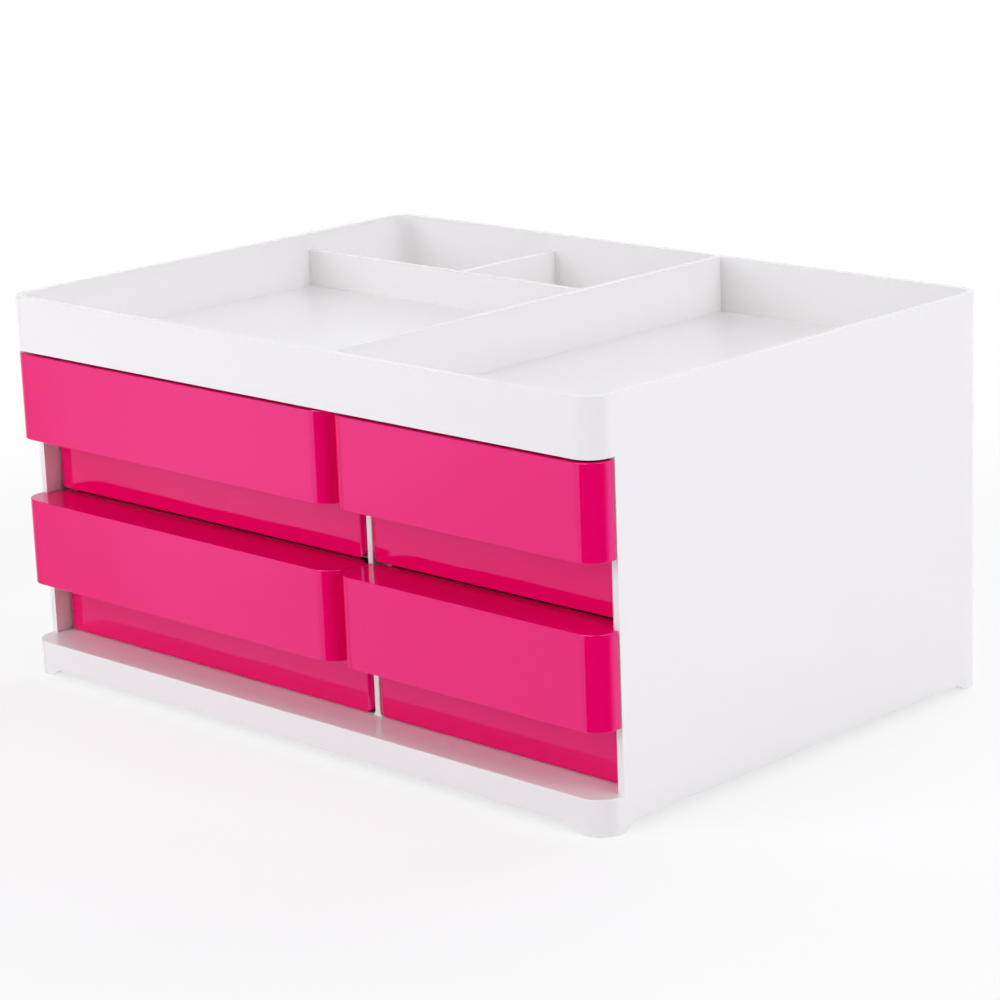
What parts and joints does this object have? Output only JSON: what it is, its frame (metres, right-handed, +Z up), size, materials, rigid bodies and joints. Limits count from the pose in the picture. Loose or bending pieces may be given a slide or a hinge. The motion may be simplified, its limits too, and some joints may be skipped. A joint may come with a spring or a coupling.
{
  "type": "desktop drawer organizer",
  "caption": "White desktop cabinet with a divided open tray on top and deep pink drawers in a wide and a narrow column, each with a hollow finger pull.",
  "frame": {"origin": "middle of the cabinet's plan at the level of the feet, where it stands on the desk", "axes": "+X to the right across the width, -Y towards the user at the front, +Z up"},
  "size_m": [0.256, 0.18, 0.1273],
  "materials": {
    "cabinet_plastic": "polished injection-moulded white ABS",
    "drawer_plastic": "high-gloss injection-moulded deep pink polystyrene"
  },
  "bodies": {
    "cabinet": {"outer_shell": "cabinet_plastic", "back_panel": "cabinet_plastic", "centre_partition": "cabinet_plastic", "left_shelf": "cabinet_plastic", "right_shelf": "cabinet_plastic", "tray_floor": "cabinet_plastic", "long_tray_divider": "cabinet_plastic", "cross_tray_divider": "cabinet_plastic", "short_tray_divider": "cabinet_plastic"},
    "upper_left_drawer": {"upper_left_drawer_box": "drawer_plastic", "upper_left_pull": "drawer_plastic"},
    "upper_right_drawer": {"upper_right_drawer_box": "drawer_plastic", "upper_right_pull": "drawer_plastic"},
    "lower_left_drawer": {"lower_left_drawer_box": "drawer_plastic", "lower_left_pull": "drawer_plastic"},
    "lower_right_drawer": {"lower_right_drawer_box": "drawer_plastic", "lower_right_pull": "drawer_plastic"}
  },
  "joints": [
    {"name": "upper_left_slide", "type": "slide", "parent": "cabinet", "child": "upper_left_drawer", "axis": [0, -1, 0], "range_m": [0, 0.13]},
    {"name": "upper_right_slide", "type": "slide", "parent": "cabinet", "child": "upper_right_drawer", "axis": [0, -1, 0], "range_m": [0, 0.13]},
    {"name": "lower_left_slide", "type": "slide", "parent": "cabinet", "child": "lower_left_drawer", "axis": [0, -1, 0], "range_m": [0, 0.13]},
    {"name": "lower_right_slide", "type": "slide", "parent": "cabinet", "child": "lower_right_drawer", "axis": [0, -1, 0], "range_m": [0, 0.13]}
  ]
}
